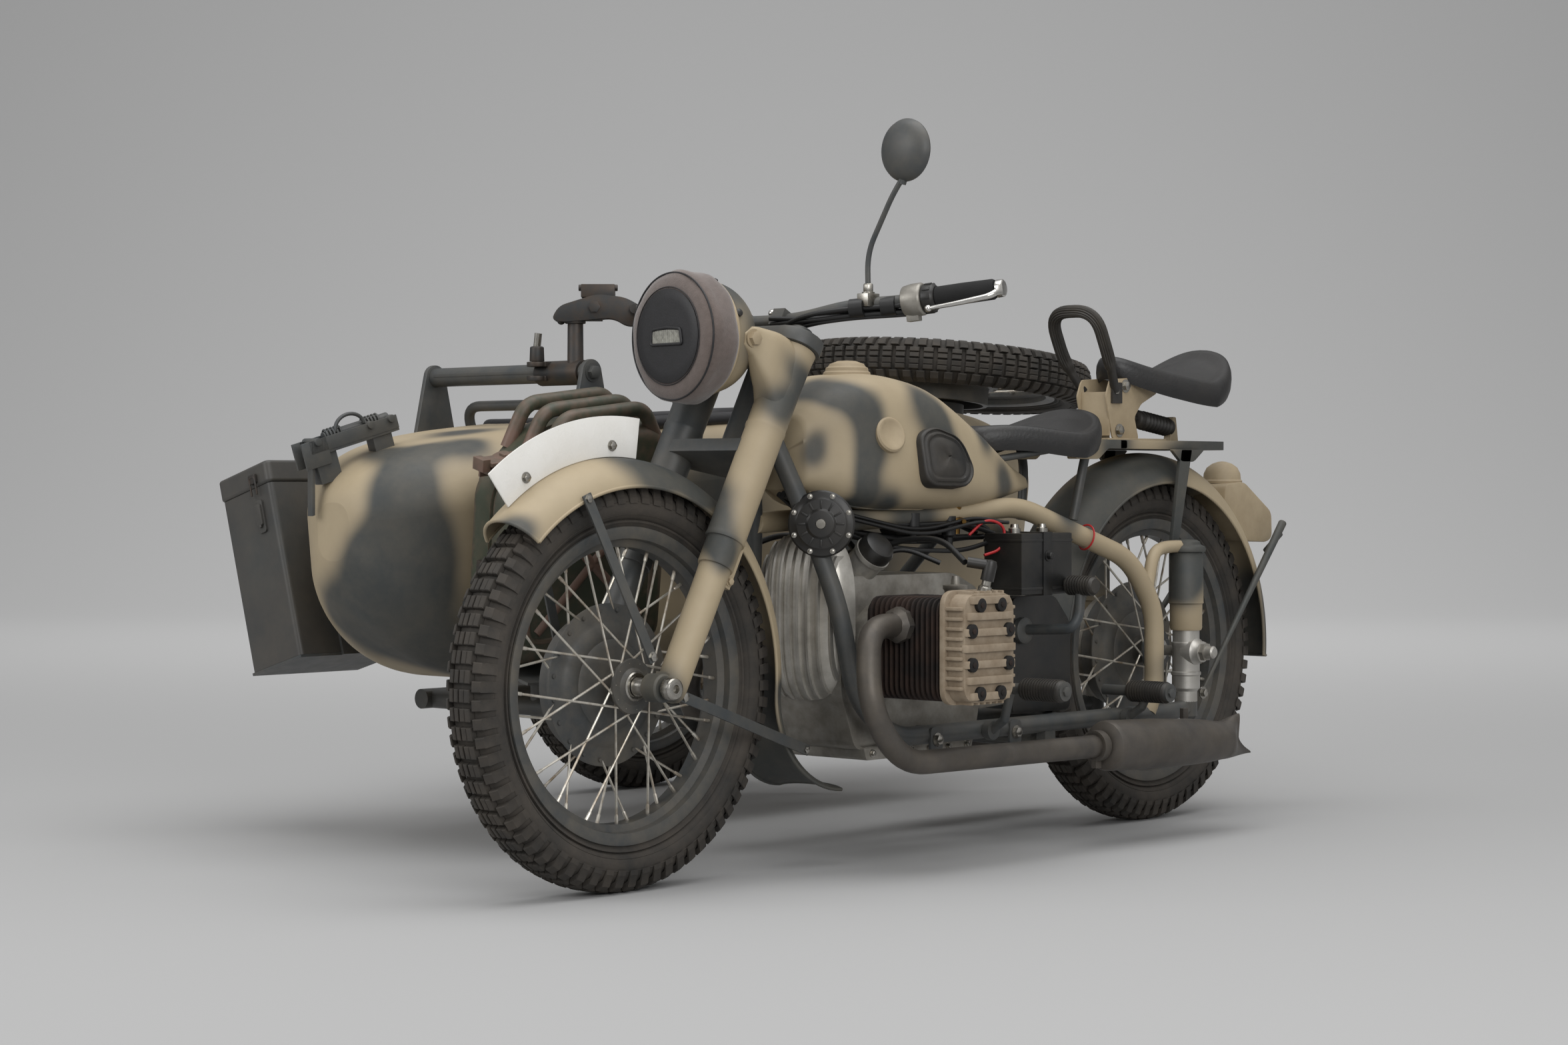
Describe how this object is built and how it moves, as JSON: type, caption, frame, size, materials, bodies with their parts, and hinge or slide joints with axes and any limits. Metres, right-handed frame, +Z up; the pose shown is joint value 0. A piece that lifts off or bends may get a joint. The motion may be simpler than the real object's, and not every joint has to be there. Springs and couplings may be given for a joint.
{
  "type": "sidecar motorcycle",
  "caption": "Flat-twin motorcycle with a bullet-nosed open sidecar, wire wheels, plunger rear end, spare wheel, fuel can, side locker and swivel mount, in sand and grey paint.",
  "frame": {"origin": "on the floor, at the middle of the outfit's footprint box", "axes": "+Z up, -Y ahead, +X to the motorcycle's left, so the sidecar lies towards -X"},
  "size_m": [1.6796, 2.3472, 1.254],
  "materials": {
    "tyre_rubber": "matte",
    "wheel_grey": "satin",
    "camo_paint": "matte",
    "grey_paint": "satin",
    "sand_paint": "matte",
    "white_plate": "satin",
    "felt": "matte",
    "black_rubber": "satin",
    "bright_steel": "polished",
    "alloy": "cast",
    "rusty_iron": "rough",
    "black_plastic": "satin",
    "green_paint": "worn",
    "black_leather": "satin"
  },
  "bodies": {
    "chassis": {"battery_box": "black_plastic", "can_bracket": "grey_paint", "carburettors": "bright_steel", "cylinder_heads": "sand_paint", "cylinders": "rusty_iron", "engine_case": "alloy", "exhausts": "rusty_iron", "filler_cap": "sand_paint", "final_drive": "alloy", "foot_pegs": "black_rubber", "frame": "grey_paint", "fuel_can": "green_paint", "fuel_tank": "camo_paint", "grab_handle": "black_rubber", "grab_rail": "grey_paint", "horn": "black_plastic", "knee_pads": "black_rubber", "locker": "grey_paint", "locker_bracket": "grey_paint", "pillion_frame": "sand_paint", "pillion_saddle": "black_rubber", "plungers": "camo_paint", "rear_fender": "camo_paint", "rear_rack": "sand_paint", "rider_saddle": "black_rubber", "saddle_frame": "grey_paint", "sidecar_fender": "camo_paint", "sidecar_frame": "grey_paint", "sidecar_seat": "black_leather", "sidecar_tub": "camo_paint", "spare_carrier": "grey_paint", "spare_tyre": "tyre_rubber", "spare_wire_wheel": "wheel_grey", "swivel_base": "grey_paint", "tail_lamp": "sand_paint"},
    "steering": {"fork_yokes": "grey_paint", "fork_leg_left": "camo_paint", "fork_leg_right": "grey_paint", "front_axle": "bright_steel", "headlamp": "camo_paint", "headlamp_hood": "felt", "handlebar": "grey_paint", "grips": "black_rubber", "levers": "bright_steel", "mirror": "black_plastic", "damper_knob": "bright_steel", "front_fender": "camo_paint", "front_plate": "white_plate"},
    "front_wheel": {"front_tyre": "tyre_rubber", "front_wire_wheel": "wheel_grey"},
    "rear_wheel": {"rear_tyre": "tyre_rubber", "rear_wire_wheel": "wheel_grey"},
    "sidecar_wheel": {"sidecar_tyre": "tyre_rubber", "sidecar_wire_wheel": "wheel_grey"},
    "locker_cover": {"locker_lid": "grey_paint"},
    "stand": {"centre_stand": "grey_paint"},
    "swivel": {"swivel_head": "grey_paint"}
  },
  "joints": [
    {"name": "steering_turn", "type": "hinge", "parent": "chassis", "child": "steering", "pos_m": [0.41022, -0.4556, 0.9], "axis": [0, 0.4695, 0.8829], "range_deg": [-40, 40]},
    {"name": "front_wheel_spin", "type": "hinge", "parent": "steering", "child": "front_wheel", "pos_m": [0.41022, -0.8406, 0.333], "axis": [1, 0, 0], "continuous": true},
    {"name": "rear_wheel_spin", "type": "hinge", "parent": "chassis", "child": "rear_wheel", "pos_m": [0.41022, 0.5894, 0.333], "axis": [1, 0, 0], "continuous": true},
    {"name": "sidecar_wheel_spin", "type": "hinge", "parent": "chassis", "child": "sidecar_wheel", "pos_m": [-0.75978, 0.3544, 0.333], "axis": [1, 0, 0], "continuous": true},
    {"name": "locker_lid_hinge", "type": "hinge", "parent": "chassis", "child": "locker_cover", "pos_m": [-0.66546, -0.4986, 0.6483], "axis": [-0.9613, 0, -0.2756], "range_deg": [0, 100]},
    {"name": "stand_fold", "type": "hinge", "parent": "chassis", "child": "stand", "pos_m": [0.41022, 0.1244, 0.19], "axis": [-1, 0, 0], "range_deg": [0, 95], "stiffness_Nm_per_rad": 6, "springref_deg": -114.59},
    {"name": "swivel_turn", "type": "hinge", "parent": "chassis", "child": "swivel", "pos_m": [-0.14178, -0.4056, 0.952], "axis": [0, 0, 1], "range_deg": [-20, 100]}
  ]
}
